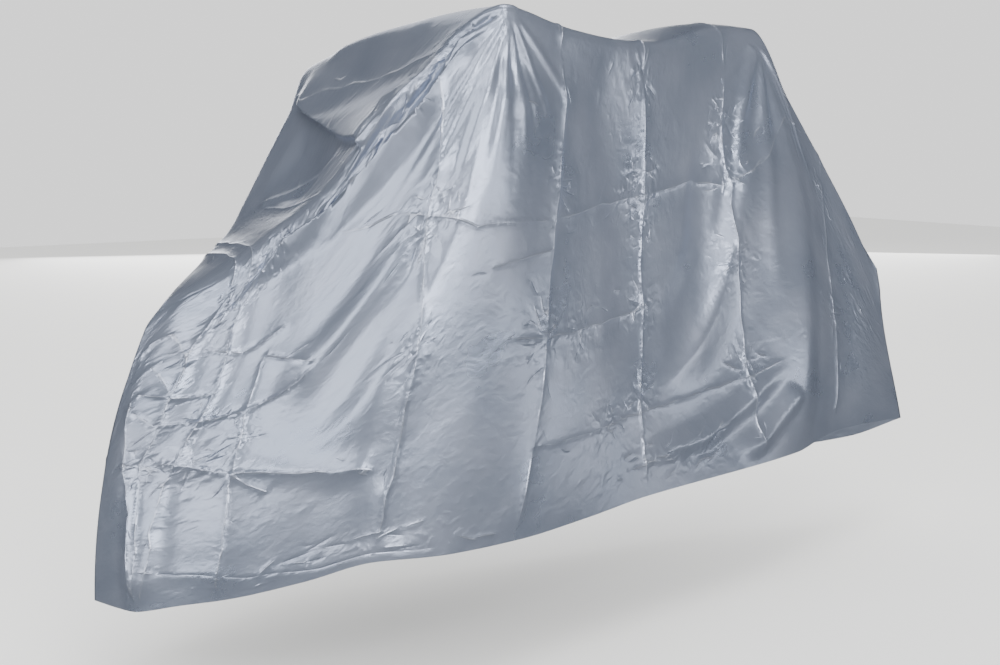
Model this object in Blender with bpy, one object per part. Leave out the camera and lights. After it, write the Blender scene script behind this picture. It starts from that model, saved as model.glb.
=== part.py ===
"""Bicycle cover: one sheet of silver PEVA film folded over a bicycle, welded shut at nose and tail.

The sheet hangs from the handlebar grips, the saddle and the rear carrier and hugs the front tyre. It is
hollow and open below. X runs from nose to tail, Y from the near side to the far side, Z is up, in metres.
"""
import bmesh
import bpy
import numpy as np

# Driving sizes, metres
FILM_WALL = 0.002            # wall of the solid that stands for the film
SHOULDER_RADIUS = 0.030      # how softly the film turns from its top to its sides
HOLDING_POINT = (0.930, 0.0, 1.094)   # under the film on the saddle, over the ground below the front axle
COLUMNS = 64                 # grid of the sheet, nose to tail
ROWS_A_SIDE = 22             # grid of the sheet, hem to crown, on each side
GRID_LEAN = 0.32             # how far the grid's columns lean towards the nose, as the folds do
GRID_TOLERANCE = 0.0001      # two corners of the grid closer than this are one
SHOULDER = 0.22              # girth runs from -1, near hem, over 0, the crown, to 1, far hem
SHOULDER_BLEND = ((-1, 1), (-.6, 3), (-.25, 4), (0, 4), (.25, 4), (.6, 3), (1, 1))   # shifts and weights
FILM_COLOUR = (0.42, 0.45, 0.50, 1.0)

# A row for each section across the bicycle, from the nose weld to the tail weld, measured from the ground
# under the front axle. hem and edge are points of the near hem and the near shoulder; low and high are a
# third and two thirds of the way up between them.
NEAR_COLUMNS = ("place", "hem_x", "hem_y", "hem_z", "low_x", "low_y", "high_x", "high_y",
                "edge_x", "edge_y", "edge_z")
NEAR_SECTIONS = (
    ("nose weld", -.366, .024, .165, -.353, .018, -.321, .012, -.268, .006, .598),
    ("tyre front", -.346, -.040, .170, -.337, -.028, -.301, -.022, -.213, -.026, .646),
    ("nose crease", -.328, -.085, .175, -.311, -.064, -.240, -.059, -.156, -.055, .682),
    ("tyre side", -.270, -.115, .183, -.247, -.096, -.186, -.082, -.122, -.072, .710),
    ("pinch", -.212, -.145, .190, -.188, -.129, -.137, -.101, -.088, -.092, .745),
    ("face foot", -.105, -.200, .215, -.085, -.185, -.056, -.161, -.034, -.132, .795),
    ("face", -.008, -.245, .242, .027, -.242, .070, -.234, .090, -.222, .975),
    ("grips", .120, -.258, .235, .155, -.263, .187, -.277, .203, -.300, 1.075),
    ("behind grips", .250, -.250, .233, .316, -.226, .350, -.210, .338, -.255, 1.057),
    ("sag", .400, -.228, .238, .439, -.190, .471, -.160, .465, -.200, 1.049),
    ("middle", .560, -.200, .246, .573, -.152, .596, -.125, .585, -.150, 1.046),
    ("saddle", .892, -.150, .248, .848, -.118, .834, -.089, .820, -.070, 1.080),
    ("carrier", 1.002, -.125, .248, 1.001, -.124, .991, -.084, .935, -.040, 1.086),
    ("back slope", 1.080, -.100, .255, 1.083, -.098, 1.072, -.071, 1.040, -.022, .966),
    ("rear axle", 1.170, -.072, .261, 1.175, -.064, 1.148, -.049, 1.135, -.018, .853),
    ("tyre back", 1.320, -.034, .252, 1.299, -.034, 1.268, -.029, 1.250, -.014, .709),
    ("tail weld", 1.456, 0.0, .239, 1.422, 0.0, 1.388, 0.0, 1.366, 0.0, .548),
)

# The same sections: far is a point of the far shoulder, far_hem_z the height of the far hem, middle_y the
# middle between the two hems, and crown moves the middle of the top.
FAR_COLUMNS = ("place", "far_x", "far_y", "far_z", "far_hem_z", "middle_y", "crown_x", "crown_z")
FAR_SECTIONS = (
    ("nose weld", -.268, .006, .598, .165, .024, .030, .034),
    ("tyre front", -.210, .050, .646, .165, .018, 0, .004),
    ("nose crease", -.158, .088, .680, .167, .010, 0, .006),
    ("tyre side", -.125, .105, .705, .171, .008, 0, .004),
    ("pinch", -.092, .125, .735, .176, .005, 0, -.002),
    ("face foot", -.045, .165, .790, .188, 0, 0, -.012),
    ("face", .060, .240, .925, .198, 0, 0, -.025),
    ("grips", .139, .300, 1.012, .203, 0, 0, .020),
    ("behind grips", .300, .265, 1.015, .205, 0, 0, -.012),
    ("sag", .460, .205, 1.025, .205, 0, 0, -.010),
    ("middle", .600, .150, 1.052, .202, 0, 0, .010),
    ("saddle", .825, .070, 1.088, .198, 0, 0, .016),
    ("carrier", .950, .040, 1.088, .195, 0, 0, .010),
    ("back slope", 1.045, .022, .970, .194, 0, 0, .004),
    ("rear axle", 1.135, .020, .858, .195, 0, 0, .003),
    ("tyre back", 1.250, .015, .712, .205, 0, 0, .002),
    ("tail weld", 1.366, 0.0, .548, .239, 0, -.014, .046),
)

# A row for each main fold. The height is out of the sheet, or into it where negative. It falls off over two
# widths, on the right and on the left of the path as the flat sheet lies with its nose to the left and its
# far side up. fade_in and fade_out are the shares of the path over which the fold rises and dies. The path
# is (run along the hem in metres, girth) points.
FOLD_COLUMNS = ("fold", "height_mm", "right_mm", "left_mm", "fade_in", "fade_out", "path")
FOLDS = (
    ("first grip fold", 13, 62, 36, .10, .25,
     ((.562, -.27), (.525, -.35), (.467, -.48), (.384, -.55), (.265, -.63))),
    ("second grip fold", 15, 46, 150, .10, .25,
     ((.603, -.28), (.590, -.38), (.544, -.53), (.483, -.65), (.373, -.73), (.294, -.74))),
    ("fold under the grip", 9, 26, 30, .05, .30, ((.630, -.26), (.668, -.35), (.700, -.46))),
    ("hollow behind the grip", -18, 70, 120, .15, .25,
     ((.809, -.26), (.906, -.37), (.985, -.55), (1.014, -.83))),
    ("long rear fold", 20, 30, 110, .20, .25,
     ((1.439, -.37), (1.411, -.50), (1.375, -.59), (1.318, -.69), (1.233, -.76), (1.084, -.84))),
    ("hollow before it", -10, 60, 34, .20, .20,
     ((1.358, -.37), (1.299, -.49), (1.277, -.60), (1.092, -.75))),
    ("upper rear drape", 14, 32, 30, .15, .25,
     ((1.468, -.82), (1.347, -.88), (1.239, -.92), (1.014, -.95))),
    ("lower rear drape", 15, 34, 30, .10, .25,
     ((1.501, -.87), (1.454, -.92), (1.393, -.957), (1.310, -.974))),
    ("carrier side", 10, 60, 30, .25, .10,
     ((1.551, -.39), (1.505, -.58), (1.494, -.71), (1.501, -.86), (1.483, -.98))),
    ("saddle fold", 7, 24, 30, .05, .30, ((1.487, -.25), (1.465, -.36), (1.452, -.47), (1.461, -.72))),
    ("saddle back fold", 8, 30, 26, .05, .30,
     ((1.498, -.25), (1.547, -.30), (1.604, -.32), (1.648, -.38))),
    ("brow of the face", 15, 26, 56, .10, .05,
     ((.524, .20), (.496, .12), (.472, .02), (.448, -.11), (.436, -.22))),
    ("hollow of the face", -12, 60, 30, .20, .20, ((.440, .14), (.420, 0), (.405, -.12))),
    ("far grip fold", 14, 50, 60, .10, .30, ((.585, .28), (.560, .42), (.500, .56), (.400, .66))),
    ("far second fold", 13, 46, 110, .10, .30, ((.650, .27), (.655, .42), (.640, .60), (.590, .76))),
    ("far hollow", -16, 80, 120, .20, .25,
     ((.850, .28), (.930, .45), (.980, .62), (1.000, .82))),
    ("far rear fold", 16, 90, 40, .20, .25,
     ((1.420, .30), (1.330, .45), (1.230, .60), (1.110, .78))),
    ("far drape", 12, 34, 34, .15, .25,
     ((1.480, .84), (1.340, .89), (1.200, .93), (1.020, .94))),
    ("far nose fold", 9, 36, 30, .20, .30, ((.300, .34), (.240, .52), (.200, .72))),
)


def smooth_step(share):
    share = np.clip(share, 0.0, 1.0)
    return share * share * (3 - 2 * share)


def through_rows(at, rows_at, rows, monotone=True):
    """A smooth cubic through the rows. A monotone one never swings past the rows on either side of it."""
    span = np.diff(rows_at)[:, None]
    rise = np.diff(rows, axis=0) / span
    before, after = span[:-1], span[1:]
    slope = np.vstack([rise[:1], (rise[:-1] * after + rise[1:] * before) / (after + before), rise[-1:]])
    if monotone:
        same_way = rise[:-1] * rise[1:] > 0
        weight_1, weight_2 = 2 * after + before, after + 2 * before
        safe_1, safe_2 = np.where(same_way, rise[:-1], 1), np.where(same_way, rise[1:], 1)
        slope[1:-1] = np.where(same_way, (weight_1 + weight_2) / (weight_1 / safe_1 + weight_2 / safe_2), 0)
    row = np.clip(np.searchsorted(rows_at, at, side="right") - 1, 0, len(rows_at) - 2)
    part = ((np.clip(at, rows_at[0], rows_at[-1]) - rows_at[row]) / span[row, 0])[:, None]
    return ((1 + 2 * part) * (1 - part) ** 2 * rows[row] + part ** 2 * (3 - 2 * part) * rows[row + 1]
            + span[row] * (part * (1 - part) ** 2 * slope[row] + part ** 2 * (part - 1) * slope[row + 1]))


SECTION_NUMBERS = np.array([near[1:] + far[1:] for near, far in zip(NEAR_SECTIONS, FAR_SECTIONS)], float)
HEM_STEPS = np.linalg.norm(np.diff(SECTION_NUMBERS[:, 0:3], axis=0), axis=1)
SECTION_RUNS = np.concatenate([[0.0], np.cumsum(HEM_STEPS)])
HEM_LENGTH = SECTION_RUNS[-1]


def section_at(run):
    """The named points of the section at each run, as an array of points for each name."""
    numbers = through_rows(run, SECTION_RUNS, SECTION_NUMBERS)
    value = {name: numbers[:, index] for index, name in enumerate(NEAR_COLUMNS[1:] + FAR_COLUMNS[1:])}

    def point(x, y, z):
        return np.stack([x, y, z], axis=-1)

    hem = point(value["hem_x"], value["hem_y"], value["hem_z"])
    edge = point(value["edge_x"], value["edge_y"], value["edge_z"])
    far_edge = point(value["far_x"], value["far_y"], value["far_z"])
    far_hem = point(value["hem_x"], 2 * value["middle_y"] - value["hem_y"], value["far_hem_z"])
    climb = edge[:, 2] - hem[:, 2]
    low = point(value["low_x"], value["low_y"], hem[:, 2] + climb / 3)
    high = point(value["high_x"], value["high_y"], hem[:, 2] + climb * 2 / 3)
    mirror = point(1.0, -1.0, 1.0)
    far_low = far_hem + (far_edge - far_hem) / 3 + (low - hem - (edge - hem) / 3) * mirror
    far_high = far_hem + (far_edge - far_hem) * 2 / 3 + (high - hem - (edge - hem) * 2 / 3) * mirror
    crown = point(value["crown_x"], 0 * run, value["crown_z"])
    return (hem, low, high, edge), (far_hem, far_low, far_high, far_edge), crown


def through_four(share, points):
    """The cubic through four points set a third of the way apart."""
    share = share[:, None]
    first = -4.5 * (share - 1 / 3) * (share - 2 / 3) * (share - 1)
    second = 13.5 * share * (share - 2 / 3) * (share - 1)
    third = -13.5 * share * (share - 1 / 3) * (share - 1)
    fourth = 4.5 * share * (share - 1 / 3) * (share - 2 / 3)
    return first * points[0] + second * points[1] + third * points[2] + fourth * points[3]


def arch(section, girth):
    """Points on the arch of a section, with its two shoulders still sharp."""
    near, far, crown = section
    up_side = (1 - np.abs(girth)) / (1 - SHOULDER)
    side = np.where((girth < 0)[:, None], through_four(up_side, near), through_four(up_side, far))
    across = np.clip(girth / SHOULDER, -1, 1)[:, None]
    top = near[3] * (1 - across) / 2 + far[3] * (1 + across) / 2 + crown * (1 - across ** 2)
    return np.where((np.abs(girth) > SHOULDER)[:, None], side, top)


def sheet_point(run, girth):
    """The smooth sheet, its shoulders rounded by averaging the arch over a little of its own length."""
    section = section_at(run)
    near, far, _ = section
    side_length = np.linalg.norm(near[3] - near[0], axis=1)
    half_top = np.maximum(np.linalg.norm(far[3] - near[3], axis=1) / 2, 0.001)
    radius = np.minimum(SHOULDER_RADIUS, half_top * 0.9)
    out = np.abs(girth)
    from_crown = np.where(out > SHOULDER, half_top + (out - SHOULDER) / (1 - SHOULDER) * side_length,
                          out / SHOULDER * half_top) * np.sign(girth)
    reach = radius * smooth_step(1 - np.abs(np.abs(from_crown) - half_top) / (2 * radius))
    total, weights = 0.0, 0.0
    for shift, weight in SHOULDER_BLEND:
        moved = from_crown + shift * reach
        far_out = np.abs(moved)
        side_girth = SHOULDER + (far_out - half_top) / side_length * (1 - SHOULDER)
        moved_girth = np.where(far_out > half_top, side_girth, far_out / half_top * SHOULDER)
        total = total + weight * arch(section, np.clip(moved_girth * np.sign(moved), -1, 1))
        weights += weight
    return total / weights


def sheet_normal(run, girth, step=0.004):
    next_run, last_run = np.minimum(run + step, HEM_LENGTH), np.maximum(run - step, 0)
    next_girth, last_girth = np.minimum(girth + step, 1), np.maximum(girth - step, -1)
    along = sheet_point(next_run, girth) - sheet_point(last_run, girth)
    around = sheet_point(run, next_girth) - sheet_point(run, last_girth)
    normal = np.cross(along, around)
    return normal / np.maximum(np.linalg.norm(normal, axis=1, keepdims=True), 1e-9)


def fold_height(run, girth, fold):
    """How far one fold lifts each place of the sheet, by its distance to the fold's path on the flat."""
    near, _, _ = section_at(run)
    girth_size = np.linalg.norm(near[3] - near[0], axis=1) / (1 - SHOULDER)
    path = np.array(fold["path"])
    knots = np.linspace(0, 1, len(path))
    path = through_rows(np.linspace(0, 1, 8 * len(path)), knots, path, monotone=False)
    lengths = np.concatenate([[0], np.cumsum(np.linalg.norm(np.diff(path, axis=0), axis=1))])
    nearest = np.full(len(run), np.inf)
    side, share = np.zeros(len(run)), np.zeros(len(run))
    for k in range(len(path) - 1):
        start_x, start_y = path[k, 0], path[k, 1] * girth_size
        step_x, step_y = path[k + 1, 0] - start_x, (path[k + 1, 1] - path[k, 1]) * girth_size
        to_x, to_y = run - start_x, girth * girth_size - start_y
        part = np.clip((to_x * step_x + to_y * step_y) / (step_x ** 2 + step_y ** 2), 0, 1)
        off_x, off_y = to_x - part * step_x, to_y - part * step_y
        distance = np.hypot(off_x, off_y)
        closer = distance < nearest
        nearest = np.where(closer, distance, nearest)
        side = np.where(closer, step_x * off_y - step_y * off_x, side)
        share = np.where(closer, (lengths[k] + part * (lengths[k + 1] - lengths[k])) / lengths[-1], share)
    width = np.where(side < 0, fold["right_mm"], fold["left_mm"]) / 1000
    swell = (1 - np.clip(nearest / width, 0, 1) ** 2) ** 2
    fade = smooth_step(share / fold["fade_in"]) * smooth_step((1 - share) / fold["fade_out"])
    return fold["height_mm"] / 1000 * swell * fade


def drape(run, girth):
    """The hanging sheet: the smooth sheet lifted along its normal by every fold."""
    lift = sum(fold_height(run, girth, dict(zip(FOLD_COLUMNS, row))) for row in FOLDS)
    return sheet_point(run, girth) + sheet_normal(run, girth) * lift[:, None] - np.array(HOLDING_POINT)


def film_material():
    material = bpy.data.materials.new("PEVA film")
    material.use_nodes = True
    shader = material.node_tree.nodes["Principled BSDF"]
    shader.inputs["Base Color"].default_value = FILM_COLOUR
    shader.inputs["Metallic"].default_value = 0.75
    shader.inputs["Roughness"].default_value = 0.38
    return material


def build_cover():
    """A flat grid, leaning with the folds, is draped; its ends are welded shut and Solidify walls it."""
    sheet = bmesh.new()
    bmesh.ops.create_grid(sheet, x_segments=COLUMNS, y_segments=2 * ROWS_A_SIDE, size=1.0)
    flat = np.array([vert.co[:2] for vert in sheet.verts])
    share, girth = (flat[:, 0] + 1) / 2, flat[:, 1]
    lean = GRID_LEAN * np.sin(np.pi * share) * smooth_step((np.abs(girth) - SHOULDER) / (1 - SHOULDER))
    run = share * HEM_LENGTH - lean
    places = drape(run, girth)
    steps = np.rint(flat / GRID_TOLERANCE).astype(int)
    corner = {tuple(place): vert for place, vert in zip(steps.tolist(), sheet.verts)}
    end = steps[:, 0].max()
    weld = {corner[(x, y)]: corner[(x, -y)] for x, y in corner if abs(x) == end and y > 0}
    for vert, place in zip(sheet.verts, places):
        vert.co = place
    for far_vert, near_vert in weld.items():
        near_vert.co = (near_vert.co + far_vert.co) / 2
    bmesh.ops.weld_verts(sheet, targetmap=weld)
    mesh = bpy.data.meshes.new("cover")
    sheet.to_mesh(mesh)
    sheet.free()
    mesh.shade_smooth()
    mesh.materials.append(film_material())
    cover = bpy.data.objects.new("cover", mesh)
    bpy.context.collection.objects.link(cover)
    wall = cover.modifiers.new("film wall", "SOLIDIFY")
    wall.thickness = FILM_WALL
    wall.offset = -1.0
    return cover


for old in list(bpy.data.objects):
    bpy.data.objects.remove(old)
build_cover()
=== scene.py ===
import math

import bmesh
import bpy
import numpy as np
from mathutils import Matrix, Vector


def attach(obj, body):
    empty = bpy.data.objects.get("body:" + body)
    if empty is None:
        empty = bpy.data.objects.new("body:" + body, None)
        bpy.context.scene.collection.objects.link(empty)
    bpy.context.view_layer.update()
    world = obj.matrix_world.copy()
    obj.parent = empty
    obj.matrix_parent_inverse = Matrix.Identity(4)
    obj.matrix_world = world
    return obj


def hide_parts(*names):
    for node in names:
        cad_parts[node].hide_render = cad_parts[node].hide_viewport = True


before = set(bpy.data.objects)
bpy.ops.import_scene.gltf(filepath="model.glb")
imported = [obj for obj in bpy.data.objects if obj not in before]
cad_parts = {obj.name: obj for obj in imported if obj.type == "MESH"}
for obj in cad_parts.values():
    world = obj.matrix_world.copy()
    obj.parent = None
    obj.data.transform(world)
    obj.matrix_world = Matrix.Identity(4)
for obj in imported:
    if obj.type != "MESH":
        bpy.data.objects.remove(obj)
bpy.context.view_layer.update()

# ---- The cover ----
# One sheet of silver PEVA film, cut 2.0 m long, laid double, welded up its nose and its tail and turned up
# at the hem. It hangs from two handlebar grips, the saddle and the rear carrier, and hugs the front tyre.
# It was sold folded in seven across its length and in four up each side, so it carries those sharp creases.
HOLDING_POINT = np.array((0.930, 0.0, 1.094))   # metres over the ground under the front axle
SHOULDER_RADIUS = 0.030      # how softly the film turns from its top to its sides
SHOULDER = 0.22              # girth runs from -1, near hem, over 0, the crown, to 1, far hem
SHOULDER_BLEND = ((-1, 1), (-.6, 3), (-.25, 4), (0, 4), (.25, 4), (.6, 3), (1, 1))   # shifts and weights
HALF_GIRTH = 1.085           # metres of film from crown to hem, laid flat

# A row for each section across the bicycle, nose to tail: points of the near hem and near shoulder, and of
# the side a third and two thirds of the way up between them.
NEAR_COLUMNS = ("place", "hem_x", "hem_y", "hem_z", "low_x", "low_y", "high_x", "high_y",
                "edge_x", "edge_y", "edge_z")
NEAR_SECTIONS = (
    ("nose weld", -.366, .024, .165, -.353, .018, -.321, .012, -.268, .006, .598),
    ("tyre front", -.346, -.040, .170, -.337, -.028, -.301, -.022, -.213, -.026, .646),
    ("nose crease", -.328, -.085, .175, -.311, -.064, -.240, -.059, -.156, -.055, .682),
    ("tyre side", -.270, -.115, .183, -.247, -.096, -.186, -.082, -.122, -.072, .710),
    ("pinch", -.212, -.145, .190, -.188, -.129, -.137, -.101, -.088, -.092, .745),
    ("face foot", -.105, -.200, .215, -.085, -.185, -.056, -.161, -.034, -.132, .795),
    ("face", -.008, -.245, .242, .027, -.242, .070, -.234, .090, -.222, .975),
    ("grips", .120, -.258, .235, .155, -.263, .187, -.277, .203, -.300, 1.075),
    ("behind grips", .250, -.250, .233, .316, -.226, .350, -.210, .338, -.255, 1.057),
    ("sag", .400, -.228, .238, .439, -.190, .471, -.160, .465, -.200, 1.049),
    ("middle", .560, -.200, .246, .573, -.152, .596, -.125, .585, -.150, 1.046),
    ("saddle", .892, -.150, .248, .848, -.118, .834, -.089, .820, -.070, 1.080),
    ("carrier", 1.002, -.125, .248, 1.001, -.124, .991, -.084, .935, -.040, 1.086),
    ("back slope", 1.080, -.100, .255, 1.083, -.098, 1.072, -.071, 1.040, -.022, .966),
    ("rear axle", 1.170, -.072, .261, 1.175, -.064, 1.148, -.049, 1.135, -.018, .853),
    ("tyre back", 1.320, -.034, .252, 1.299, -.034, 1.268, -.029, 1.250, -.014, .709),
    ("tail weld", 1.456, 0.0, .239, 1.422, 0.0, 1.388, 0.0, 1.366, 0.0, .548),
)

# The same sections: the far shoulder, the height of the far hem, the middle between the hems, and how the
# middle of the top lies off the line between the shoulders.
FAR_COLUMNS = ("place", "far_x", "far_y", "far_z", "far_hem_z", "middle_y", "crown_x", "crown_z")
FAR_SECTIONS = (
    ("nose weld", -.268, .006, .598, .165, .024, .030, .034),
    ("tyre front", -.210, .050, .646, .165, .018, 0, .004),
    ("nose crease", -.158, .088, .680, .167, .010, 0, .006),
    ("tyre side", -.125, .105, .705, .171, .008, 0, .004),
    ("pinch", -.092, .125, .735, .176, .005, 0, -.002),
    ("face foot", -.045, .165, .790, .188, 0, 0, -.012),
    ("face", .060, .240, .925, .198, 0, 0, -.025),
    ("grips", .139, .300, 1.012, .203, 0, 0, .020),
    ("behind grips", .300, .265, 1.015, .205, 0, 0, -.012),
    ("sag", .460, .205, 1.025, .205, 0, 0, -.010),
    ("middle", .600, .150, 1.052, .202, 0, 0, .010),
    ("saddle", .825, .070, 1.088, .198, 0, 0, .016),
    ("carrier", .950, .040, 1.088, .195, 0, 0, .010),
    ("back slope", 1.045, .022, .970, .194, 0, 0, .004),
    ("rear axle", 1.135, .020, .858, .195, 0, 0, .003),
    ("tyre back", 1.250, .015, .712, .205, 0, 0, .002),
    ("tail weld", 1.366, 0.0, .548, .239, 0, -.014, .046),
)

# A row for each soft fold. height is out of the sheet, or into it where negative, and over is how far the
# crest leans over its right side. It falls off over two widths, on the right and on the left of its path as
# the flat sheet lies with its nose to the left and its far side up. round is 2 for a round crest and 1 for a
# sharp one. rise and die are shares of its path.
FOLD_COLUMNS = ("fold", "height_mm", "over_mm", "right_mm", "left_mm", "round", "rise", "die", "path")
FOLDS = (
    ("first grip fold", 9, 0, 62, 56, 1.7, .10, .35,
     ((.562, -.273), (.522, -.376), (.467, -.485), (.384, -.545), (.331, -.614), (.265, -.628))),
    ("second grip fold", 11, 0, 60, 150, 1.7, .10, .35,
     ((.603, -.288), (.586, -.411), (.544, -.536), (.483, -.657), (.445, -.711), (.373, -.734),
      (.294, -.74))),
    ("gutter under the lip", -3.5, 0, 16, 30, 2, .15, .55,
     ((.487, -.253), (.445, -.279), (.384, -.299), (.340, -.310), (.270, -.322))),
    ("hollow behind the grip", -6, 0, 90, 140, 2, .15, .25,
     ((.809, -.262), (.906, -.368), (.965, -.485), (.996, -.622), (.994, -.742), (1.014, -.831))),
    ("long rear fold", 20, 0, 56, 110, 1.4, .20, .30,
     ((1.439, -.376), (1.411, -.499), (1.375, -.588), (1.318, -.691), (1.233, -.763), (1.084, -.840))),
    ("hollow before it", -8, 0, 80, 50, 2, .25, .30,
     ((1.358, -.373), (1.299, -.491), (1.277, -.597), (1.204, -.680), (1.092, -.754))),
    ("upper rear drape", 9, 0, 40, 34, 1.5, .15, .30,
     ((1.468, -.817), (1.408, -.863), (1.347, -.891), (1.239, -.923), (1.117, -.931), (1.014, -.948))),
    ("lower rear drape", 10, 0, 42, 32, 1.5, .10, .30,
     ((1.501, -.874), (1.454, -.917), (1.393, -.957), (1.310, -.974))),
    ("carrier side", 2, 0, 70, 70, 2, .25, .10,
     ((1.551, -.388), (1.505, -.579), (1.494, -.708), (1.501, -.860), (1.483, -.983))),
    ("fold under the saddle", 7, 0, 18, 22, 1.6, .05, .30, ((1.479, -.245), (1.435, -.322), (1.393, -.482))),
    ("saddle fold", 6, 0, 20, 24, 1.6, .05, .30,
     ((1.487, -.253), (1.465, -.359), (1.454, -.468), (1.452, -.594), (1.461, -.722))),
    ("near grip", 4, 0, 20, 20, 2, .30, .30, ((.634, -.224), (.614, -.218), (.592, -.224))),
    ("lip over the face", 15, 22, 12, 50, 1.15, .30, .30,
     ((.606, -.232), (.588, -.247), (.562, -.248), (.536, -.250), (.512, -.270), (.488, -.292), (.440, -.300),
      (.400, -.297), (.352, -.291), (.296, -.295), (.241, -.302), (.160, -.316))),
    ("gap under the face's edge", -11, 0, 11, 15, 1.5, .15, .25,
     ((.598, -.231), (.585, -.227), (.561, -.222), (.534, -.212), (.507, -.234), (.485, -.252),
      (.450, -.262))),
    ("brow of the face", 14, 22, 16, 60, 2, .10, .05,
     ((.524, .200), (.496, .120), (.472, .020), (.448, -.110), (.437, -.200), (.434, -.248))),
    ("hollow of the face", -12, 0, 60, 30, 2, .20, .20, ((.440, .140), (.420, 0), (.405, -.120))),
    ("fold of the face", 5, 0, 16, 14, 1.5, .15, .15,
     ((.349, .104), (.380, .021), (.406, -.059), (.417, -.127))),
    ("top of the face", 6, 0, 22, 26, 2, .20, .15,
     ((.584, .153), (.584, .064), (.573, -.039), (.566, -.113))),
    ("far grip fold", 14, 0, 50, 60, 2, .10, .30, ((.585, .280), (.560, .420), (.500, .560), (.400, .660))),
    ("far second fold", 13, 0, 46, 110, 2, .10, .30,
     ((.650, .270), (.655, .420), (.640, .600), (.590, .760))),
    ("far hollow", -16, 0, 80, 120, 2, .20, .25, ((.850, .280), (.930, .450), (.980, .620), (1.000, .820))),
    ("far rear fold", 16, 0, 90, 40, 2, .20, .25,
     ((1.420, .300), (1.330, .450), (1.230, .600), (1.110, .780))),
    ("far drape", 12, 0, 34, 34, 2, .15, .25, ((1.480, .840), (1.340, .890), (1.200, .930), (1.020, .940))),
    ("far nose fold", 9, 0, 36, 30, 2, .20, .30, ((.300, .340), (.240, .520), (.200, .720))),
)

# A row for each small fold that fans out from the tips of the near grip and the saddle, where the film hangs
# in points: where it ends on the flat sheet, its height and its half width.
FAN_COLUMNS = ("tip", "run", "girth", "height_mm", "width_mm")
TIPS = {"grip": (.612, -.232), "saddle": (1.487, -.240),
        "far grip": (.560, .240), "far saddle": (1.500, .240)}
FANS = (
    ("grip", .425, -.420, 3.0, 11), ("grip", .470, -.455, -2.5, 10), ("grip", .515, -.520, 3.5, 13),
    ("grip", .560, -.560, -2.5, 12), ("grip", .598, -.520, 4.0, 14), ("grip", .640, -.500, -2.6, 10),
    ("grip", .668, -.470, 3.2, 10), ("grip", .700, -.460, -2.2, 9), ("grip", .735, -.410, 2.8, 10),
    ("grip", .790, -.350, 2.0, 12),
    ("saddle", 1.330, -.340, 2.0, 12), ("saddle", 1.385, -.440, 3.0, 12), ("saddle", 1.420, -.480, -2.4, 11),
    ("saddle", 1.450, -.560, 2.4, 15), ("saddle", 1.484, -.520, -2.4, 10), ("saddle", 1.520, -.480, 2.2, 15),
    ("saddle", 1.575, -.430, -2.2, 11), ("saddle", 1.640, -.400, 3.4, 15),
    ("far grip", .480, .480, 3.4, 14), ("far grip", .550, .560, -2.6, 12), ("far grip", .620, .540, 3.6, 14),
    ("far grip", .700, .440, 2.8, 12),
    ("far saddle", 1.400, .460, 3.0, 13), ("far saddle", 1.470, .560, 3.4, 14),
    ("far saddle", 1.560, .460, -2.4, 12),
)

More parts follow.
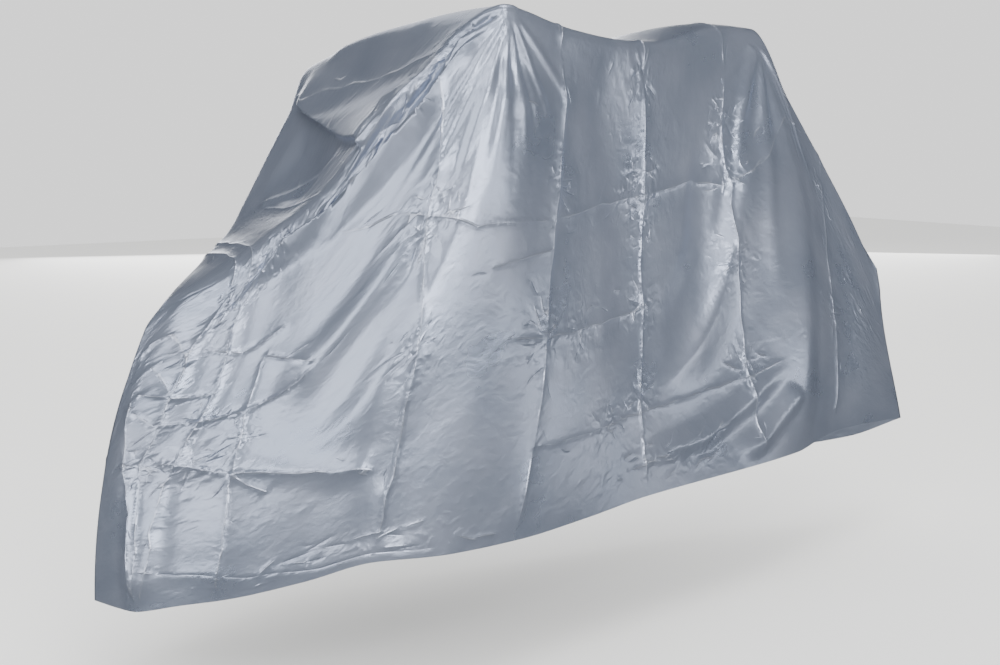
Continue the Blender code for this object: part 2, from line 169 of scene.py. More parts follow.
# A row for each sharp crease from packing. tent is how far the film still stands up beside it. mirrored ones
# run on over the crown and down the far side, where both layers were folded together. stars are the shares of
# its path where another crease crossed it and the film crumpled.
CREASE_COLUMNS = ("crease", "height_mm", "tent_mm", "mirrored", "stars", "path")
CREASES = (
    ("first across", 1.4, 3.1, 1, (.32, .37, .62),
     ((.518, -.213), (.511, -.408), (.500, -.468), (.511, -.645), (.496, -.866), (.478, -.989))),
    ("second across", 1.1, 3.8, 1, (.30, .60),
     ((.724, -.268), (.744, -.342), (.733, -.511), (.731, -.614), (.735, -.785), (.728, -.991))),
    ("third across", 1.7, 3.1, 1, (.02, .27, .36, .58, .80),
     ((1.027, -.279), (1.051, -.454), (1.049, -.605), (1.062, -.682), (1.042, -.845), (1.051, -.989))),
    ("fourth across", 1.6, 2.5, 1, (.10, .19, .27, .48, .78),
     ((1.384, -.290), (1.362, -.391), (1.378, -.488), (1.373, -.588), (1.384, -.771), (1.386, -.994))),
    ("fifth across", 1.1, 1.9, 1, (.12, .60),
     ((1.683, -.290), (1.643, -.565), (1.658, -.757), (1.658, -.966))),
    ("nose across", 1.1, 3.0, 0, (.35,),
     ((.270, -.502), (.252, -.668), (.241, -.908), (.237, -.989))),
    ("nose second", 1.0, 4.6, 1, (.40,),
     ((.189, -.328), (.193, -.534), (.154, -.677), (.140, -.911), (.123, -.991))),
    ("nose third", 1.4, 6.1, 1, (.55,),
     ((.143, -.293), (.114, -.388), (.116, -.502), (.110, -.665), (.129, -.840), (.116, -.997))),
    ("nose fourth", 0.9, 3.0, 0, (),
     ((.061, -.462), (.079, -.634), (.105, -.788), (.116, -.969))),
    ("upper along", 0.9, 1.0, 0, (),
     ((.395, -.328), (.439, -.396), (.500, -.462), (.586, -.519), (.726, -.514))),
    ("upper along, rear", 0.9, 1.5, 0, (.30,),
     ((.726, -.514), (.886, -.491), (1.049, -.479), (1.239, -.468), (1.378, -.491), (1.443, -.456),
      (1.626, -.247))),
    ("short along", 0.7, 0.8, 0, (),
     ((.616, -.582), (.731, -.557))),
    ("middle along", 0.8, 1.2, 0, (.5,),
     ((.660, -.688), (.796, -.694), (.878, -.688), (1.060, -.677))),
    ("lower along", 0.7, 1.2, 0, (.3,),
     ((.715, -.857), (.853, -.860), (.992, -.860), (1.068, -.854), (1.233, -.848), (1.378, -.840),
      (1.476, -.811))),
    ("nose along", 1.2, 4.6, 0, (.2,),
     ((.110, -.665), (.154, -.677), (.244, -.731), (.307, -.748), (.388, -.785), (.472, -.848))),
    ("nose along, short", 0.9, 2.2, 0, (),
     ((.244, -.731), (.276, -.768), (.309, -.791))),
    ("hem weld at the nose", -0.9, 1.6, 0, (),
     ((.143, -.917), (.237, -.946), (.393, -.980), (.498, -.986), (.584, -.986))),
    ("nose slant", 1.2, 2.2, 0, (),
     ((.070, -.468), (.112, -.514), (.193, -.539))),
    ("nose sweep", 1.4, 2.2, 0, (),
     ((.070, -.508), (.110, -.577), (.167, -.591), (.257, -.611), (.336, -.591), (.377, -.559))),
    ("nose hook", 1.1, 2.2, 0, (),
     ((.270, -.499), (.327, -.522), (.373, -.554))),
    ("nose upper", 1.1, 2.2, 0, (),
     ((.132, -.413), (.239, -.482), (.263, -.468), (.320, -.451))),
    ("nose facet", 1.2, 2.2, 0, (),
     ((.075, -.402), (.112, -.508))),
    ("nose bend", 1.5, 2.2, 0, (),
     ((.018, -.342), (.083, -.328), (.105, -.399), (.118, -.445))),
    ("edge of the face", 2.4, 1.5, 0, (.1, .3, .5, .7, .9),
     ((.405, -.246), (.440, -.236), (.475, -.226), (.512, -.206))),
    ("across the face", 1.0, 1.0, 0, (),
     ((.380, -.235), (.350, -.120), (.345, .060))),
    ("beside the pinch", 1.8, 1.6, 0, (.2, .5, .8),
     ((.290, -.262), (.240, -.285), (.190, -.320), (.130, -.345))),
    ("far upper along", 0.9, 0.0, 0, (.3, .7),
     ((.400, .480), (.800, .490), (1.250, .480), (1.600, .420))),
    ("far middle along", 0.7, 0.0, 0, (.5,),
     ((.200, .720), (.700, .730), (1.100, .735), (1.500, .725))),
)

# A row for each patch where the film is crumpled all over: its middle on the flat sheet, how far it reaches
# either way, and how strongly, where 1 is the most. Its own short wrinkles follow: how many, how high, and
# their turn from the run of the sheet.
PATCH_COLUMNS = ("patch", "run", "girth", "along_mm", "around_mm", "strength", "wrinkles", "height_mm",
                 "turn_deg")
PATCHES = (
    ("edge of the face", .460, -.222, 70, 35, 1.0, 12, 1.6, 70),
    ("face", .450, -.100, 120, 150, .35, 4, .8, 60),
    ("pinch below the face", .230, -.270, 110, 50, .6, 14, 1.6, -25),
    ("nose side", .110, -.420, 90, 170, .35, 6, 1.4, 20),
    ("nose front", .020, 0, 90, 500, .4, 0, 0, 0),
    ("lower nose", .160, -.750, 130, 160, .15, 0, 0, 0),
    ("hem under the grip", .430, -.962, 190, 26, .7, 16, 1.0, 4),
    ("hem before the rear wheel", 1.130, -.945, 190, 40, .8, 26, 1.2, 10),
    ("tail", 1.800, -.550, 130, 300, .35, 4, .8, 80),
    ("middle", .900, -.450, 260, 300, .15, 5, .6, 25),
    ("under the saddle", 1.420, -.440, 60, 120, .5, 8, 1.0, 75),
)


def smooth_step(share):
    share = np.clip(share, 0.0, 1.0)
    return share * share * (3 - 2 * share)


def through_rows(at, rows_at, rows, monotone=True):
    """A smooth cubic through the rows. A monotone one never swings past the rows on either side of it."""
    span = np.diff(rows_at)[:, None]
    rise = np.diff(rows, axis=0) / span
    before, after = span[:-1], span[1:]
    slope = np.vstack([rise[:1], (rise[:-1] * after + rise[1:] * before) / (after + before), rise[-1:]])
    if monotone:
        same_way = rise[:-1] * rise[1:] > 0
        weight_1, weight_2 = 2 * after + before, after + 2 * before
        safe_1, safe_2 = np.where(same_way, rise[:-1], 1), np.where(same_way, rise[1:], 1)
        slope[1:-1] = np.where(same_way, (weight_1 + weight_2) / (weight_1 / safe_1 + weight_2 / safe_2), 0)
    row = np.clip(np.searchsorted(rows_at, at, side="right") - 1, 0, len(rows_at) - 2)
    part = ((np.clip(at, rows_at[0], rows_at[-1]) - rows_at[row]) / span[row, 0])[:, None]
    return ((1 + 2 * part) * (1 - part) ** 2 * rows[row] + part ** 2 * (3 - 2 * part) * rows[row + 1]
            + span[row] * (part * (1 - part) ** 2 * slope[row] + part ** 2 * (part - 1) * slope[row + 1]))


SECTION_NUMBERS = np.array([near[1:] + far[1:] for near, far in zip(NEAR_SECTIONS, FAR_SECTIONS)], float)
HEM_STEPS = np.linalg.norm(np.diff(SECTION_NUMBERS[:, 0:3], axis=0), axis=1)
SECTION_RUNS = np.concatenate([[0.0], np.cumsum(HEM_STEPS)])
HEM_LENGTH = SECTION_RUNS[-1]


def section_at(run):
    """The named points of the section at each run, as an array of points for each name."""
    numbers = through_rows(run, SECTION_RUNS, SECTION_NUMBERS)
    value = {name: numbers[:, index] for index, name in enumerate(NEAR_COLUMNS[1:] + FAR_COLUMNS[1:])}

    def point(x, y, z):
        return np.stack([x, y, z], axis=-1)

    hem = point(value["hem_x"], value["hem_y"], value["hem_z"])
    edge = point(value["edge_x"], value["edge_y"], value["edge_z"])
    far_edge = point(value["far_x"], value["far_y"], value["far_z"])
    far_hem = point(value["hem_x"], 2 * value["middle_y"] - value["hem_y"], value["far_hem_z"])
    climb = edge[:, 2] - hem[:, 2]
    low = point(value["low_x"], value["low_y"], hem[:, 2] + climb / 3)
    high = point(value["high_x"], value["high_y"], hem[:, 2] + climb * 2 / 3)
    mirror = point(1.0, -1.0, 1.0)
    far_low = far_hem + (far_edge - far_hem) / 3 + (low - hem - (edge - hem) / 3) * mirror
    far_high = far_hem + (far_edge - far_hem) * 2 / 3 + (high - hem - (edge - hem) * 2 / 3) * mirror
    crown = point(value["crown_x"], 0 * run, value["crown_z"])
    return (hem, low, high, edge), (far_hem, far_low, far_high, far_edge), crown


def through_four(share, points):
    """The cubic through four points set a third of the way apart."""
    share = share[:, None]
    first = -4.5 * (share - 1 / 3) * (share - 2 / 3) * (share - 1)
    second = 13.5 * share * (share - 2 / 3) * (share - 1)
    third = -13.5 * share * (share - 1 / 3) * (share - 1)
    fourth = 4.5 * share * (share - 1 / 3) * (share - 2 / 3)
    return first * points[0] + second * points[1] + third * points[2] + fourth * points[3]


def arch(section, girth):
    """Points on the arch of a section, with its two shoulders still sharp."""
    near, far, crown = section
    up_side = (1 - np.abs(girth)) / (1 - SHOULDER)
    side = np.where((girth < 0)[:, None], through_four(up_side, near), through_four(up_side, far))
    across = np.clip(girth / SHOULDER, -1, 1)[:, None]
    top = near[3] * (1 - across) / 2 + far[3] * (1 + across) / 2 + crown * (1 - across ** 2)
    return np.where((np.abs(girth) > SHOULDER)[:, None], side, top)


def sheet_point(run, girth):
    """The smooth sheet, its shoulders rounded by averaging the arch over a little of its own length."""
    section = section_at(run)
    near, far, _ = section
    side_length = np.linalg.norm(near[3] - near[0], axis=1)
    half_top = np.maximum(np.linalg.norm(far[3] - near[3], axis=1) / 2, 0.001)
    radius = np.minimum(SHOULDER_RADIUS, half_top * 0.9)
    out = np.abs(girth)
    from_crown = np.where(out > SHOULDER, half_top + (out - SHOULDER) / (1 - SHOULDER) * side_length,
                          out / SHOULDER * half_top) * np.sign(girth)
    reach = radius * smooth_step(1 - np.abs(np.abs(from_crown) - half_top) / (2 * radius))
    total, weights = 0.0, 0.0
    for shift, weight in SHOULDER_BLEND:
        moved = from_crown + shift * reach
        far_out = np.abs(moved)
        side_girth = SHOULDER + (far_out - half_top) / side_length * (1 - SHOULDER)
        moved_girth = np.where(far_out > half_top, side_girth, far_out / half_top * SHOULDER)
        total = total + weight * arch(section, np.clip(moved_girth * np.sign(moved), -1, 1))
        weights += weight
    return total / weights


def sheet_frame(run, girth, step=0.004):
    """Unit vectors of the smooth sheet at each place: to the tail, around to the far side, and out of it."""
    along = (sheet_point(np.minimum(run + step, HEM_LENGTH), girth)
             - sheet_point(np.maximum(run - step, 0), girth))
    around = sheet_point(run, np.minimum(girth + step, 1)) - sheet_point(run, np.maximum(girth - step, -1))
    out = np.cross(along, around)
    ways = (along, around, out)
    return [way / np.maximum(np.linalg.norm(way, axis=1, keepdims=True), 1e-9) for way in ways]


def beside(flat, path, right, left):
    """The places within reach of a path on the flat sheet: which they are, how far off as a share of the
    width on their side, how far along the path, and the direction to its right."""
    low, high = path.min(axis=0) - max(right, left), path.max(axis=0) + max(right, left)
    which = np.flatnonzero(((flat > low) & (flat < high)).all(axis=1))
    spot = flat[which]
    lengths = np.concatenate([[0], np.cumsum(np.linalg.norm(np.diff(path, axis=0), axis=1))])
    nearest = np.full(len(which), np.inf)
    side, share = np.zeros(len(which)), np.zeros(len(which))
    rightward = np.zeros((len(which), 2))
    for k in range(len(path) - 1):
        step = path[k + 1] - path[k]
        to = spot - path[k]
        part = np.clip(to @ step / (step @ step), 0, 1)
        off = to - part[:, None] * step
        distance = np.hypot(off[:, 0], off[:, 1])
        closer = distance < nearest
        nearest = np.where(closer, distance, nearest)
        side = np.where(closer, step[0] * off[:, 1] - step[1] * off[:, 0], side)
        share = np.where(closer, (lengths[k] + part * (lengths[k + 1] - lengths[k])) / lengths[-1], share)
        rightward[closer] = np.array((step[1], -step[0])) / np.hypot(*step)
    off_share = nearest / np.where(side < 0, right, left)
    close = off_share < 1
    return which[close], off_share[close], share[close], rightward[close]


def smooth_path(points, pieces=8):
    points = np.array(points) * (1, HALF_GIRTH)
    knots = np.linspace(0, 1, len(points))
    return through_rows(np.linspace(0, 1, pieces * len(points)), knots, points, monotone=False)


def crumpled_path(points, dice, step=0.035, wander=0.0016):
    """A crease runs straight for a few centimetres at a time and wanders a little at each kink."""
    points = np.array(points) * (1, HALF_GIRTH)
    lengths = np.concatenate([[0], np.cumsum(np.linalg.norm(np.diff(points, axis=0), axis=1))])
    places = np.linspace(0, lengths[-1], max(2, int(lengths[-1] / step) + 1))
    path = np.stack([np.interp(places, lengths, points[:, axis]) for axis in (0, 1)], axis=1)
    path[1:-1] += dice.normal(0, wander, (len(path) - 2, 2))
    return path


# Every crease as it lies on the flat sheet: its path, its height and the share of it that fades out at each
# end. Each main one gets the crumples round its crossings and the short wrinkles that lean off it. The dice
# are seeded, so the sheet comes out the same.
DICE_SEED = 31
CREASE_FADES, WRINKLE_FADES = 0.05, 0.4   # shares of a crease and of a short wrinkle
WRINKLE_BEND = 0.06          # how far a wrinkle's middle strays, as a share of its length
OVER_THE_TOP = 0.5           # a crease is lower where the film lies stretched over the top
STAR_REACH, STAR_STRENGTH = 0.045, 0.9   # metres of film crumpled around a crossing, and how strongly
STAR_RAYS, STAR_CRUMBS = 6, 7            # wrinkles that run out of a crossing, and short ones scattered by it
STRAY_EVERY = 0.10           # metres of crease to one stray wrinkle beside it
# A row for each kind of short wrinkle: how far its root strays from its place, in metres or in shares of a
# patch, how far it turns, in radians, its length in metres and its height as a share of its crease's.
WRINKLE_COLUMNS = ("kind", "stray", "turn", "shortest", "longest", "lowest", "highest")
WRINKLES = (
    ("ray", .004, 0, .025, .085, .4, .9),
    ("crumb", .026, .9, .012, .040, .3, .7),
    ("lone", .008, .45, .020, .070, .3, .7),
    ("in a patch", .6, .35, .030, .080, .5, 1),
)
ray, crumb, lone, in_patch = [dict(zip(WRINKLE_COLUMNS, row)) for row in WRINKLES]
dice = np.random.default_rng(DICE_SEED)
creases, tents, crumples = [], [], []


def wrinkle(kind, root, turn, height):
    """A short wrinkle that runs from its root the way of its turn, out of the film or into it."""
    length = dice.uniform(kind["shortest"], kind["longest"])
    height = height * dice.uniform(kind["lowest"], kind["highest"]) * dice.choice((-1, 1))
    tip = root + length * np.array((np.cos(turn), np.sin(turn)))
    middle = (root + tip) / 2 + dice.normal(0, WRINKLE_BEND * length, 2)
    creases.append((np.array((root, middle, tip)), height, WRINKLE_FADES))


for row in CREASES:
    crease = dict(zip(CREASE_COLUMNS, row))
    points = np.array(crease["path"])
    lines = [(points, 1)]
    if crease["mirrored"]:
        over_the_top = np.array((points[0], points[0] * (1, -1)))
        lines = [(points, 1), (points * (1, -1), 1), (over_the_top, OVER_THE_TOP)]
    for line, share_of_height in lines:
        path = crumpled_path(line, dice)
        height = crease["height_mm"] / 1000 * share_of_height
        creases.append((path, height, CREASE_FADES))
        if crease["tent_mm"]:
            tents.append((path, crease["tent_mm"] / 1000 * share_of_height))
        whole = np.linalg.norm(path[-1] - path[0])
        heading = np.arctan2(*(path[-1] - path[0])[::-1])
        for star in crease["stars"] if share_of_height == 1 else ():
            centre = path[int(star * (len(path) - 1))]
            crumples.append((centre, (STAR_REACH, STAR_REACH), STAR_STRENGTH))
            for turn in heading + dice.uniform(0, 2 * np.pi, STAR_RAYS):
                wrinkle(ray, centre + dice.normal(0, ray["stray"], 2), turn, height)
            for _ in range(STAR_CRUMBS):
                root = centre + dice.normal(0, crumb["stray"], 2)
                wrinkle(crumb, root, heading + dice.normal(0, crumb["turn"]), height)
        for _ in range(int(whole / STRAY_EVERY)):
            root = path[dice.integers(0, len(path))] + dice.normal(0, lone["stray"], 2)
            turn = heading + dice.choice((0, np.pi)) + dice.normal(0, lone["turn"])
            wrinkle(lone, root, turn, height)
for row in PATCHES:
    patch = dict(zip(PATCH_COLUMNS, row))
    crumples.append((np.array((patch["run"], patch["girth"] * HALF_GIRTH)),
                     (patch["along_mm"] / 1000, patch["around_mm"] / 1000), patch["strength"]))
    for _ in range(patch["wrinkles"]):
        wrinkle(in_patch, crumples[-1][0] + dice.normal(0, in_patch["stray"], 2) * crumples[-1][1],
                np.radians(patch["turn_deg"]) + dice.normal(0, in_patch["turn"]), patch["height_mm"] / 1000)

# The flat sheet, in metres: x from nose to tail, y from near hem to far hem. The rows lie closest on the near
# side. It is cut along each crease, so that the crease stays sharp, and then divided finer, most beside them.
GRID_ALONG, GRID_AROUND = 112, 104
NEARER_ROWS = 0.22           # how far the rows are drawn to the near side, as a share of half the girth
EVEN_AT_WELDS = 0.12         # share of half the run over which that dies out at a weld
sheet = bmesh.new()
bmesh.ops.create_grid(sheet, x_segments=GRID_ALONG, y_segments=GRID_AROUND, size=1.0)
for vert in sheet.verts:
    away_from_welds = min(1.0, (1 - abs(vert.co.x)) / EVEN_AT_WELDS)
    girth = vert.co.y - NEARER_ROWS * away_from_welds * (1 - vert.co.y ** 2)
    vert.co = ((vert.co.x + 1) / 2 * HEM_LENGTH, girth * HALF_GIRTH, 0)
CELL = 0.020                 # metres, the squares that faces are filed by
SAME_PLACE = 0.0003          # metres, a cut closer than this to a corner runs through the corner
CUT_END = 0.001              # metres that a cut may run on past the ends of its crease
BY_WELD = 0.02               # metres beside a weld that stay uncut and undivided
cells = {}


def file_faces(faces):
    for face in faces:
        centre = face.calc_center_median()
        cells.setdefault((int(centre.x / CELL), int(centre.y // CELL)), set()).add(face)


def cut_along(start, end):
    """Cuts the flat sheet's faces that lie along one straight piece of a crease."""
    length = np.hypot(*(end - start))
    way = (end - start) / length
    found = set()
    for place in np.arange(0, length + CELL / 2, CELL / 2):
        x, y = start + way * min(place, length)
        for i in (-1, 0, 1):
            for j in (-1, 0, 1):
                found |= cells.get((int(x / CELL) + i, int(y // CELL) + j), set())
    faces = []
    for face in found:
        centre = face.calc_center_median()
        away_x, away_y = centre.x - start[0], centre.y - start[1]
        along = away_x * way[0] + away_y * way[1]
        off = abs(away_x * way[1] - away_y * way[0])
        if -CUT_END < along < length + CUT_END and off < CELL:
            faces.append(face)
    if not faces:
        return
    edges = {edge for face in faces for edge in face.edges}
    verts = {vert for face in faces for vert in face.verts}
    done = bmesh.ops.bisect_plane(sheet, geom=faces + list(edges) + list(verts), dist=SAME_PLACE,
                                  plane_co=(start[0], start[1], 0), plane_no=(way[1], -way[0], 0))
    file_faces([item for item in done["geom"] if isinstance(item, bmesh.types.BMFace)])


file_faces(sheet.faces)
folds = [dict(zip(FOLD_COLUMNS, row)) for row in FOLDS]
fold_paths = [smooth_path(fold["path"]) for fold in folds]
fans = [dict(zip(FAN_COLUMNS, row)) for row in FANS]
fan_paths = [np.array((TIPS[fan["tip"]], (fan["run"], fan["girth"]))) * (1, HALF_GIRTH) for fan in fans]
# A fold that leans over is cut and divided as a crease is.
leaning_paths = [path for fold, path in zip(folds, fold_paths) if fold["over_mm"]]
for path, height, fading in creases:
    for start, end in zip(path[:-1], path[1:]):
        if min(start[0], end[0]) > BY_WELD and max(start[0], end[0]) < HEM_LENGTH - BY_WELD:
            cut_along(start, end)
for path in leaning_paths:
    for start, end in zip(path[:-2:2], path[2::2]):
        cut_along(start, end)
bmesh.ops.triangulate(sheet, faces=sheet.faces[:])

# Longest edges in metres, in the open and beside a crease, for two rounds of division. Beside a fold that
# leans over and at the tip of a fan they are shorter still, and on the far side they are longer.
ROUNDS = ((.020, .0125), (.0136, .0088))
FAR_SIDE = 0.25              # metres from the crown from which the far side is divided coarser
FAR_OPEN, FAR_BY_CREASE = 1.45, 1.7
BY_CREASE, BY_LEANING_FOLD, BY_FAN = (.011, .011), (.022, .020), (.016, .016)   # right and left of the path
AT_LEANING_FOLD, AT_FAN = 0.5, (0.6, 1.2)   # times the edge beside a crease, for a fan at its tip and end
for longest_open, longest_by_crease in ROUNDS:
    edges = [edge for edge in sheet.edges
             if not edge.is_boundary or BY_WELD < edge.verts[0].co.x < HEM_LENGTH - BY_WELD]
    ends = np.array([(*edge.verts[0].co[:2], *edge.verts[1].co[:2]) for edge in edges])
    middles = (ends[:, :2] + ends[:, 2:]) / 2
    lengths = np.hypot(ends[:, 0] - ends[:, 2], ends[:, 1] - ends[:, 3])
    longest = np.where(middles[:, 1] < FAR_SIDE, longest_open, longest_open * FAR_OPEN)
    for path, height, fading in creases:
        which, off, share, right = beside(middles, path, *BY_CREASE)
        longest[which] = np.minimum(longest[which],
                                    longest_by_crease * (1 if path[0, 1] < FAR_SIDE else FAR_BY_CREASE))
    for path in leaning_paths:
        which, off, share, right = beside(middles, path, *BY_LEANING_FOLD)
        longest[which] = np.minimum(longest[which], longest_by_crease * AT_LEANING_FOLD)
    for path in fan_paths:
        which, off, share, right = beside(middles, path, *BY_FAN)
        longest[which] = np.minimum(longest[which], longest_by_crease * np.interp(share, (0, 1), AT_FAN))
    too_long = [edge for edge, long in zip(edges, lengths > longest) if long]
    bmesh.ops.subdivide_edges(sheet, edges=too_long, cuts=1, use_grid_fill=True)
    bmesh.ops.triangulate(sheet, faces=[face for face in sheet.faces if len(face.verts) > 3])

# The flat sheet is hung: each place goes to its point of the smooth sheet, and the folds and creases lift it
# out of it or push it in. All of them die out at the welds.
TENT_REACH = 0.045           # metres either side of a crease over which the film stands up
TENT_FADES = 0.1             # share of a crease over which its tent rises and dies
FAN_AT_TIP = 0.5             # width of a fan's ray at its tip, as a share of its full width
FAN_RISES, FAN_DIES = 0.12, 0.6   # shares of the ray
CREASE_REACH = 0.012         # metres either side of a crease over which its nearness is kept
FLAT_AT_WELDS = 0.03         # metres
CRUMPLED_ALL_OVER = 0.15     # 1 is fully crumpled
flat = np.array([vert.co[:2] for vert in sheet.verts])
run, girth = flat[:, 0], flat[:, 1] / HALF_GIRTH
hung = sheet_point(run, girth)
along, around, out = sheet_frame(run, girth)
lift, over = np.zeros(len(flat)), np.zeros((len(flat), 2))
for fold, path in zip(folds, fold_paths):
    which, off, share, right = beside(flat, path, fold["right_mm"] / 1000, fold["left_mm"] / 1000)
    swell = ((1 - off ** fold["round"]) ** 2
             * smooth_step(share / fold["rise"]) * smooth_step((1 - share) / fold["die"]))
    lift[which] += fold["height_mm"] / 1000 * swell
    over[which] += fold["over_mm"] / 1000 * swell[:, None] ** 2 * right
for path, height in tents:
    which, off, share, right = beside(flat, path, TENT_REACH, TENT_REACH)
    fade = smooth_step(share / TENT_FADES) * smooth_step((1 - share) / TENT_FADES)
    lift[which] += height * (1 - off) ** 2 * fade
for fan, path in zip(fans, fan_paths):
    which, off, share, right = beside(flat, path, fan["width_mm"] / 1000, fan["width_mm"] / 1000)
    # A ray of a fan is narrow at its tip and broad and shallow at its end.
    off_ray = np.clip(off / np.clip(FAN_AT_TIP + share, 0, 1), 0, 1)
    lift[which] += (fan["height_mm"] / 1000 * (1 - off_ray ** 2) ** 2
                    * smooth_step(share / FAN_RISES) * smooth_step((1 - share) / FAN_DIES))
# Beside each crease the film keeps how near it is, 1 on the crease and 0 at its reach, less than 0 for one
# that goes in. The film's material bumps the thin line of the crease from it and paints a highlight on raised
# ones.
nearness = np.zeros(len(flat))
for path, height, fading in creases:
    which, off, share, right = beside(flat, path, CREASE_REACH, CREASE_REACH)
    fade = smooth_step(np.minimum(share, 1 - share) / fading)
    lift[which] += height * np.clip(1 - 2 * off, 0, 1) * fade
    near = (1 - off) * (.7 + .3 * fade)   # its line still shows where its height has died out
    nearer = near > np.abs(nearness[which])
    nearness[which[nearer]] = np.sign(height) * near[nearer]
crumpled = np.full(len(flat), CRUMPLED_ALL_OVER)
for centre, reach, strength in crumples:
    crumpled += strength * np.exp(-(((flat - centre) / reach) ** 2).sum(axis=1))
from_welds = smooth_step(np.minimum(run, HEM_LENGTH - run) / FLAT_AT_WELDS)
hung = (hung - HOLDING_POINT + out * (lift * from_welds)[:, None]
        + along * (over[:, 0] * from_welds)[:, None] + around * (over[:, 1] * from_welds)[:, None])
flat_uv = sheet.loops.layers.uv.new("film")
for face in sheet.faces:
    for loop in face.loops:
        loop[flat_uv].uv = loop.vert.co[:2]
crease_mark = sheet.verts.layers.float.new("crease")
crumple_mark = sheet.verts.layers.float.new("crumpled")
for vert, place, near, much in zip(sheet.verts, hung.tolist(), nearness.tolist(), crumpled.tolist()):
    vert.co = place
    vert[crease_mark] = near
    vert[crumple_mark] = min(1, much)
# The two layers meet at the welds, where their edges become one.
ON_A_WELD = 1e-5             # metres
weld_verts = [vert for vert, x in zip(sheet.verts, run) if x < ON_A_WELD or x > HEM_LENGTH - ON_A_WELD]
bmesh.ops.remove_doubles(sheet, verts=weld_verts, dist=SAME_PLACE)
cover_mesh = bpy.data.meshes.new("cover sheet")
sheet.to_mesh(cover_mesh)
sheet.free()
cover_mesh.shade_smooth()
cover = bpy.data.objects.new("cover_sheet", cover_mesh)
bpy.context.collection.objects.link(cover)


def linear(colour):
    """An sRGB hex colour as linear red, green, blue and alpha."""
    parts = [int(colour[k:k + 2], 16) / 255 for k in (1, 3, 5)]
    return [part / 12.92 if part <= .04045 else ((part + .055) / 1.055) ** 2.4 for part in parts] + [1.0]


def add_node(material, kind, inputs=(), links=(), **settings):
    """Adds a node, sets its settings and inputs, and links its inputs to other nodes' outputs."""
    node = material.node_tree.nodes.new(kind)
    for name, value in settings.items():
        setattr(node, name, value)
    for name, value in dict(inputs).items():
        node.inputs[name].default_value = value
    for name, output in dict(links).items():
        material.node_tree.links.new(output, node.inputs[name])
    return node


# PEVA film, calendered and pigmented with aluminium flake: a cool silver with a broad soft sheen, faintly
# rippled between its folds, and a painted highlight, a paler silver, along the line of each raised crease.
film = bpy.data.materials.new("silver PEVA film")
film.use_nodes = True
film_shader = film.node_tree.nodes["Principled BSDF"]
film_shader.inputs["Metallic"].default_value = 0.78
place_on_film = add_node(film, "ShaderNodeUVMap", uv_map="film").outputs["UV"]
nearness_value = add_node(film, "ShaderNodeAttribute", attribute_name="crease").outputs["Fac"]
crumpled_value = add_node(film, "ShaderNodeAttribute", attribute_name="crumpled").outputs["Fac"]
# Clouds 17 cm apart, in the tone and the sheen, from the rolling of the film.
cloudy = add_node(film, "ShaderNodeTexNoise", {"Scale": 6.0, "Detail": 4.0, "Roughness": .55},
                  {"Vector": place_on_film})
# The line of a crease is 4 mm wide. It comes and goes every 45 mm along its length.
LINE_EDGE = 0.82             # nearness to the crease at the edge of its line
raised = add_node(film, "ShaderNodeMapRange", {"From Min": LINE_EDGE, "From Max": 1.0},
                  {"Value": nearness_value})
sunk = add_node(film, "ShaderNodeMapRange", {"From Min": -LINE_EDGE, "From Max": -1.0, "To Max": -1.0},
                {"Value": nearness_value})
line = add_node(film, "ShaderNodeMath", links={0: raised.outputs["Result"], 1: sunk.outputs["Result"]},
                operation="ADD")
coming = add_node(film, "ShaderNodeTexNoise", {"Scale": 1 / .045, "Detail": 1.0}, {"Vector": place_on_film})
going = add_node(film, "ShaderNodeMapRange", {"From Min": .35, "From Max": .65, "To Min": .1},
                 {"Value": coming.outputs["Fac"]})
crease_line = add_node(film, "ShaderNodeMath", links={0: line.outputs["Value"], 1: going.outputs["Result"]},
                       operation="MULTIPLY")
tone = add_node(film, "ShaderNodeValToRGB", links={"Fac": cloudy.outputs["Fac"]})
tone.color_ramp.elements[0].color = linear("#929CB0")
tone.color_ramp.elements[1].color = linear("#A3ABBE")
tone.color_ramp.elements[0].position = .3
tone.color_ramp.elements[1].position = .7
# Painted highlight: the line of each raised crease is painted halfway to a pale silver.
painted_crease_highlight = add_node(film, "ShaderNodeMath", {1: .5}, {0: crease_line.outputs["Value"]},
                       operation="MULTIPLY")
crease_highlight_mix = add_node(film, "ShaderNodeMix", {7: linear("#C9CEDB")},
                 {0: painted_crease_highlight.outputs["Value"], 6: tone.outputs["Color"]}, data_type="RGBA")
film.node_tree.links.new(crease_highlight_mix.outputs[2], film_shader.inputs["Base Color"])
rough = add_node(film, "ShaderNodeMapRange", {"From Min": .3, "From Max": .7, "To Min": .26, "To Max": .34},
                 {"Value": cloudy.outputs["Fac"]})
film.node_tree.links.new(rough.outputs["Result"], film_shader.inputs["Roughness"])
# Ripples 25 mm apart, then a web of fine wrinkles, 45 mm and 16 mm apart, where the film is crumpled, and the
# line of each crease. The real grain, under 1 mm, is too fine to show.
ripple = add_node(film, "ShaderNodeTexNoise",
                  {"Scale": 1 / .025, "Detail": 3.0, "Roughness": .5, "Distortion": .6},
                  {"Vector": place_on_film})
normal = add_node(film, "ShaderNodeBump", {"Strength": .13, "Distance": .004},
                  {"Height": ripple.outputs["Fac"]})
for apart, depth in ((.045, .0036), (.016, .0016)):
    web = add_node(film, "ShaderNodeTexNoise", {"Scale": 1 / apart, "Detail": 1.0, "Distortion": .4},
                   {"Vector": place_on_film}, noise_type="RIDGED_MULTIFRACTAL")
    height = add_node(film, "ShaderNodeMath", links={0: web.outputs["Fac"], 1: crumpled_value},
                      operation="MULTIPLY")
    normal = add_node(film, "ShaderNodeBump", {"Distance": depth},
                      {"Height": height.outputs["Value"], "Normal": normal.outputs["Normal"]})
normal = add_node(film, "ShaderNodeBump", {"Distance": .0008},
                  {"Height": crease_line.outputs["Value"], "Normal": normal.outputs["Normal"]})
film.node_tree.links.new(normal.outputs["Normal"], film_shader.inputs["Normal"])
cover_mesh.materials.append(film)

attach(cover, "root")
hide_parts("cover")

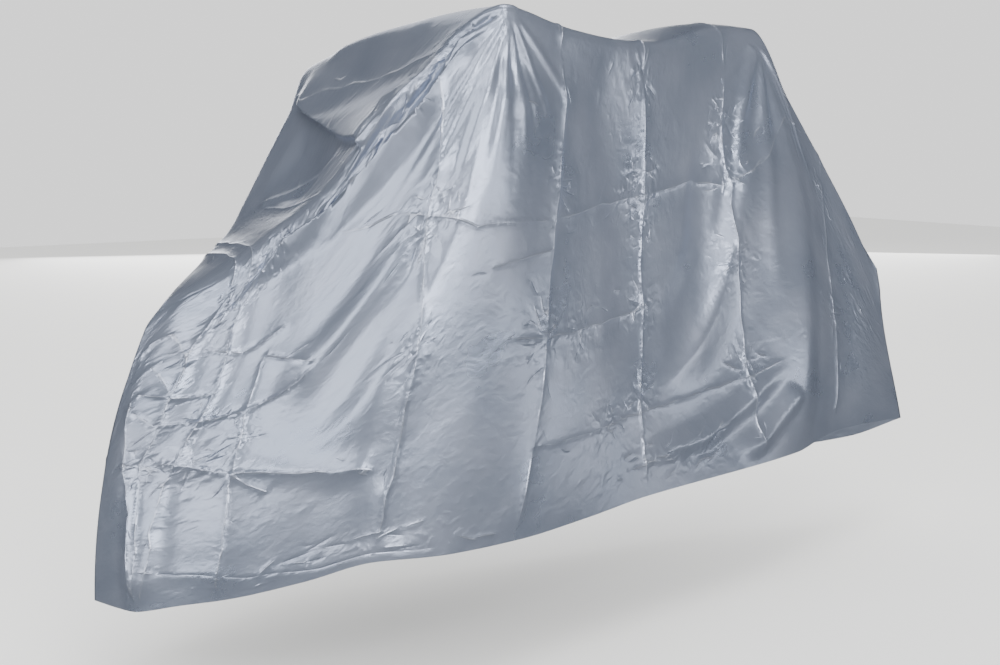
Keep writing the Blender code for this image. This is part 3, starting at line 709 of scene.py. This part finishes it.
# ---- Camera ----
# It stands before the near side of the front wheel at about handlebar height.
camera = bpy.data.objects.new("camera", bpy.data.cameras.new("camera"))
bpy.context.collection.objects.link(camera)
camera.data.sensor_width = 36.0
camera.data.lens = 43.32
CAMERA_PLACE = (-1.687, -1.8478, -0.2173)   # metres
turn, tilt, roll = 0.5465, -0.158, -0.0028   # radians
forward = Vector((math.sin(turn) * math.cos(tilt), math.cos(turn) * math.cos(tilt), math.sin(tilt)))
right = Vector((math.cos(turn), -math.sin(turn), 0))
up = right.cross(forward)
right, up = right * math.cos(roll) + up * math.sin(roll), up * math.cos(roll) - right * math.sin(roll)
camera.matrix_world = (Matrix.Translation(CAMERA_PLACE)
                       @ Matrix((right, up, -forward)).transposed().to_4x4())
bpy.context.scene.camera = camera

# ---- Floor ----
# A pale studio floor, at the height of the ground under the tyres of the bicycle that is left out.
floor_mesh = bpy.data.meshes.new("floor")
FLOOR_REACH = 9.0            # metres from its middle to each side
floor_form = bmesh.new()
bmesh.ops.create_grid(floor_form, x_segments=1, y_segments=1, size=FLOOR_REACH)
bmesh.ops.translate(floor_form, verts=floor_form.verts, vec=(0, 0, -HOLDING_POINT[2]))
floor_form.to_mesh(floor_mesh)
floor_form.free()
floor = bpy.data.objects.new("floor", floor_mesh)
bpy.context.collection.objects.link(floor)
paper = bpy.data.materials.new("studio paper")
paper.use_nodes = True
paper.node_tree.nodes["Principled BSDF"].inputs["Base Color"].default_value = linear("#F1F1EF")
paper.node_tree.nodes["Principled BSDF"].inputs["Roughness"].default_value = 0.9
floor_mesh.materials.append(paper)
floor.visible_glossy = False

# ---- Lights ----
# Broad soft boxes before the near side, at the nose, above and behind the far side, two that lie low before
# the middle and the tail, and a pale even surround. The film mirrors the boxes only, so that it stays dark
# where it faces away from them. Places and sizes are in metres.
LIGHT_COLUMNS = ("light", "place", "aim", "width", "height", "watts")
LIGHTS = (
    ("high front", (-1.4, -4.0, 2.4), (-.5, 0, -.4), 2.4, 1.3, 88),
    ("front", (-.9, -5.2, -.2), (-.5, 0, -.5), 3.0, 1.6, 120),
    ("nose", (-4.6, -2.8, .1), (-.6, 0, -.5), 3.0, 2.0, 62),
    ("high nose", (-4.0, -2.2, 2.2), (-.6, 0, -.5), 2.4, 1.4, 49),
    ("low at the nose", (-5.0, .3, -.5), (-1.1, 0, -.6), 1.6, 1.6, 45),
    ("above", (-.4, -.6, 3.2), (-.4, 0, -.5), 2.4, 2.0, 75),
    ("low by the tail", (2.2, -2.0, -1.05), (2.2, -2.0, 2.0), 1.6, 2.0, 30),
    ("low before the middle", (.8, -3.0, -1.05), (.8, -3.0, 2.0), 3.0, 2.0, 68),
    ("far side", (2.0, 7.0, .5), (-.5, 0, -.5), 4.4, 3.0, 230),
    ("high far side", (.8, 4.0, 2.2), (-.4, 0, -.5), 3.0, 2.0, 28),
    ("far side of the tail", (5.0, 5.2, .4), (-.3, 0, -.5), 3.6, 3.0, 130),
)
for row in LIGHTS:
    light = dict(zip(LIGHT_COLUMNS, row))
    lamp = bpy.data.lights.new(light["light"], "AREA")
    lamp.shape = "RECTANGLE"
    lamp.size, lamp.size_y, lamp.energy = light["width"], light["height"], light["watts"]
    holder = bpy.data.objects.new(light["light"], lamp)
    bpy.context.collection.objects.link(holder)
    holder.location = light["place"]
    aim = Vector(light["aim"]) - Vector(light["place"])
    holder.rotation_euler = aim.to_track_quat("-Z", "Y").to_euler()
    holder.visible_camera = False
surround = bpy.data.worlds.new("surround")
bpy.context.scene.world = surround
surround.use_nodes = True
surround.node_tree.nodes["Background"].inputs["Color"].default_value = (1, 1, 1, 1)
surround.node_tree.nodes["Background"].inputs["Strength"].default_value = 1.35
surround.cycles_visibility.glossy = False
